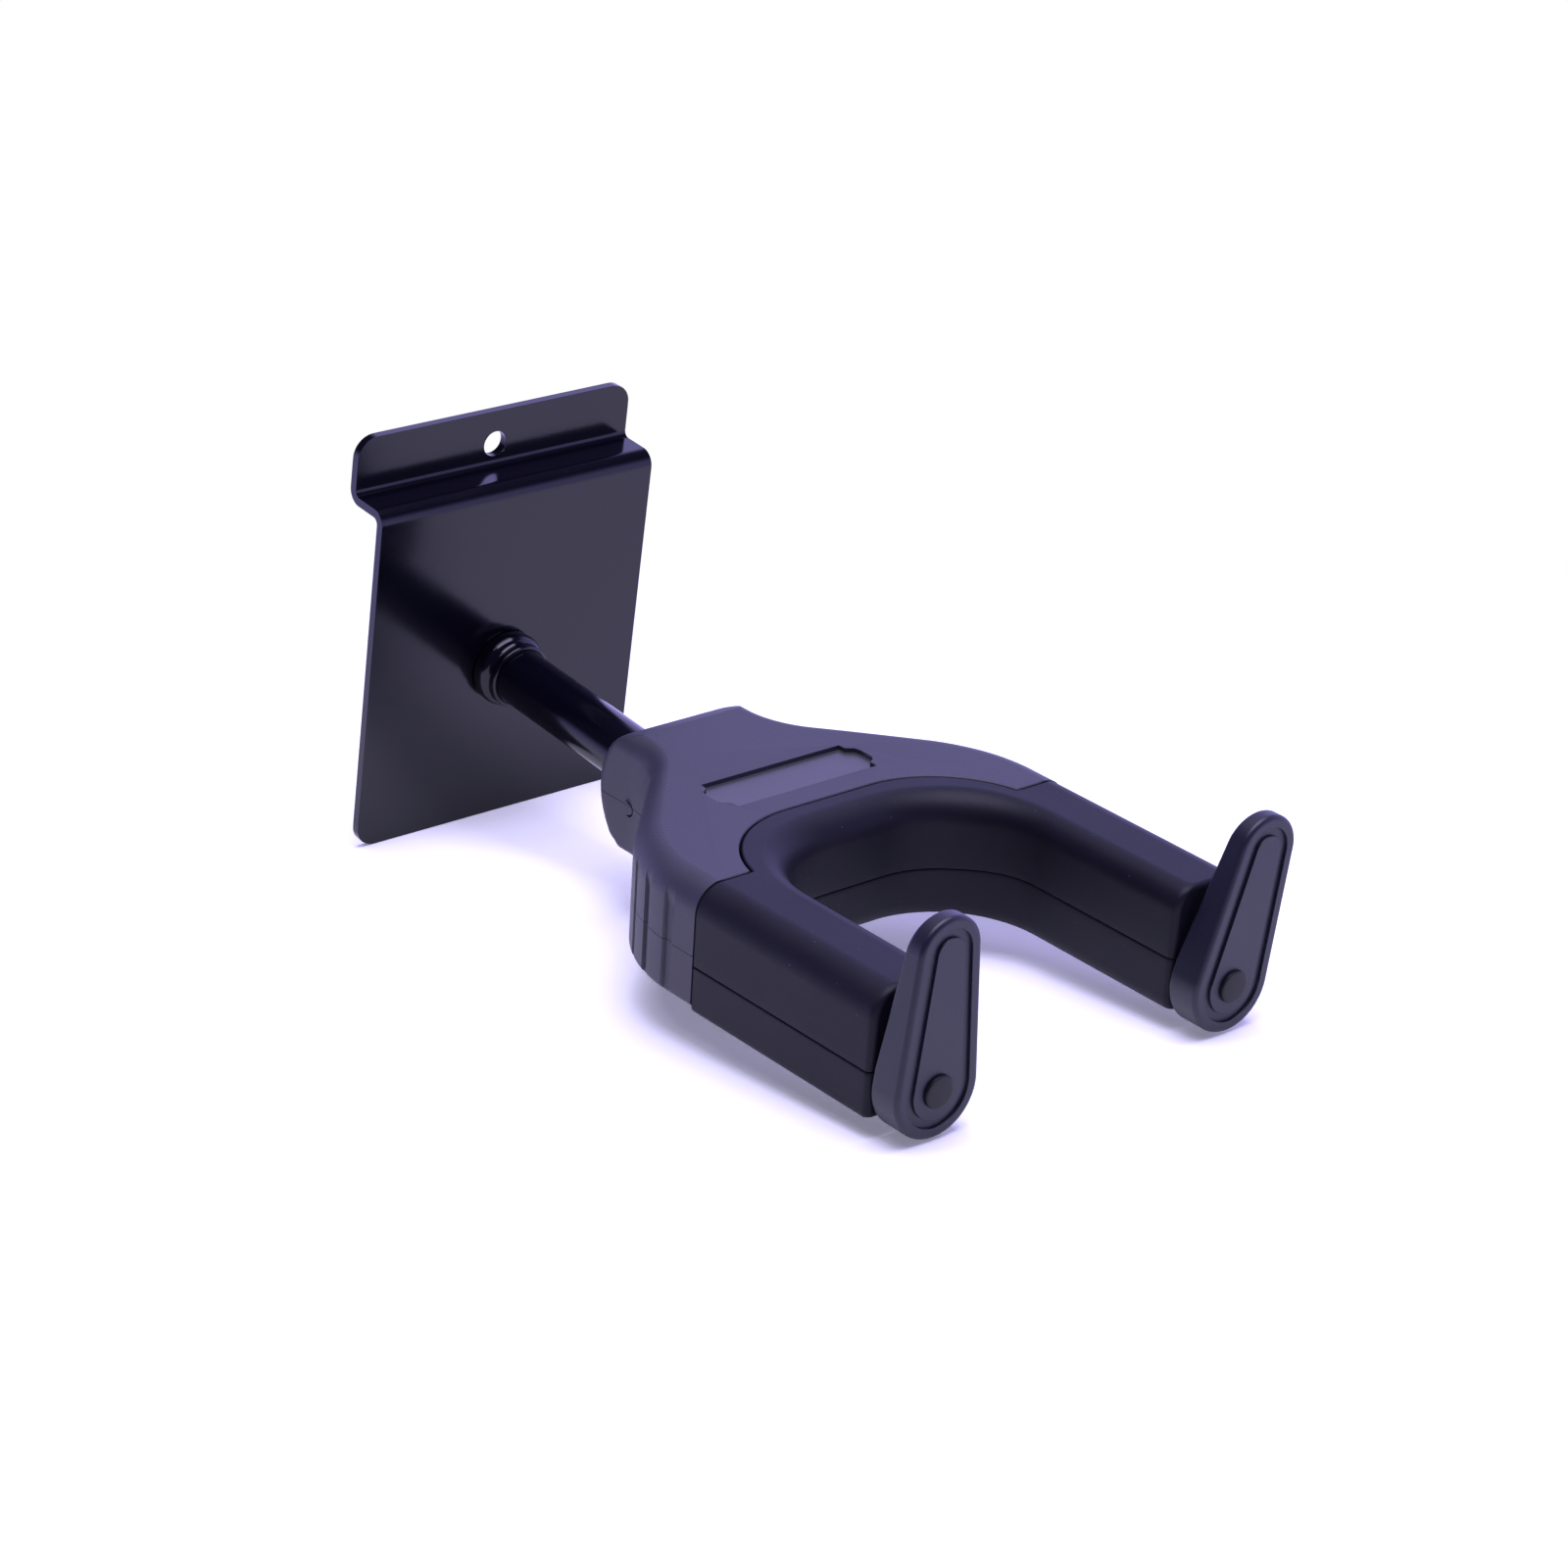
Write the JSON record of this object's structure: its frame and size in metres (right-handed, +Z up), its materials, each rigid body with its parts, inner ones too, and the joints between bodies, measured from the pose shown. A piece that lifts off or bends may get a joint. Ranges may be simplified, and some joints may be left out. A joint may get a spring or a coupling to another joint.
{
  "type": "wall guitar hanger",
  "caption": "Wall hanger for a guitar: hooked plate, rod, swivelling padded yoke that sinks under load and closes its end gates.",
  "frame": {"origin": "centre of the rod at the wall plate's back face, where the plate bears on the wall", "axes": "+Y into the wall, +Z up, +X to the right for someone facing the wall; the rod and arms run out along -Y"},
  "size_m": [0.1053, 0.2102, 0.0976],
  "materials": {
    "gloss_black_steel": "gloss black powder coat on steel",
    "bright_steel": "plain zinc-plated steel",
    "spring_steel": "drawn spring wire",
    "textured_plastic": "fine spark-textured black nylon",
    "badge_plastic": "smooth satin black plastic",
    "bearing_plastic": "natural acetal",
    "black_bush_plastic": "black acetal",
    "frame_plastic": "glass-filled nylon",
    "soft_rubber": "smooth matte black rubber",
    "gate_plastic": "satin dark grey plastic",
    "dark_screw": "blackened steel"
  },
  "bodies": {
    "bracket": {"wall_plate": "gloss_black_steel", "support_rod": "gloss_black_steel", "rod_collar": "gloss_black_steel", "swivel_stop_pin": "bright_steel", "thrust_washer": "bearing_plastic", "rod_end_washer": "bright_steel", "rod_end_screw": "bright_steel"},
    "head": {"head_upper_shell": "textured_plastic", "head_lower_shell": "textured_plastic", "badge_insert": "badge_plastic", "shell_screws": "bright_steel", "rear_swivel_bush": "bearing_plastic", "front_swivel_bush": "bearing_plastic", "guide_pins": "bright_steel", "left_crank_guide": "bearing_plastic", "right_crank_guide": "bearing_plastic", "left_return_spring": "spring_steel", "right_return_spring": "spring_steel"},
    "cradle": {"cradle_frame": "frame_plastic", "upper_pad": "soft_rubber", "lower_pad": "soft_rubber", "cradle_screws": "bright_steel", "left_front_bush": "black_bush_plastic", "right_front_bush": "black_bush_plastic", "left_rear_bush": "black_bush_plastic", "right_rear_bush": "black_bush_plastic"},
    "left_gate": {"left_gate": "gate_plastic", "left_gate_shaft": "bright_steel", "left_crank": "bright_steel", "left_gate_screw": "dark_screw"},
    "right_gate": {"right_gate": "gate_plastic", "right_gate_shaft": "bright_steel", "right_crank": "bright_steel", "right_gate_screw": "dark_screw"}
  },
  "joints": [
    {"name": "head_swivel", "type": "hinge", "parent": "bracket", "child": "head", "pos_m": [0, -0.07, 0], "axis": [0, -1, 0], "range_deg": [-30, 30]},
    {"name": "cradle_drop", "type": "slide", "parent": "head", "child": "cradle", "axis": [0, -0.0913, -0.9958], "range_m": [0, 0.0036], "stiffness_N_per_m": 1500, "springref_m": -0.003, "deforming": ["left_return_spring", "right_return_spring"]},
    {"name": "left_gate_swing", "type": "hinge", "parent": "cradle", "child": "left_gate", "pos_m": [-0.0402, -0.18973, 0.00828], "axis": [0, 0.9958, -0.0913], "range_deg": [0, 75.1]},
    {"name": "right_gate_swing", "type": "hinge", "parent": "cradle", "child": "right_gate", "pos_m": [0.0402, -0.18973, 0.00828], "axis": [0, -0.9958, 0.0913], "range_deg": [0, 75.1]}
  ],
  "couplings": [
    {"joint": "left_gate_swing", "follows": "cradle_drop", "rad_per_m": 363.61},
    {"joint": "right_gate_swing", "follows": "cradle_drop", "rad_per_m": 363.61}
  ]
}
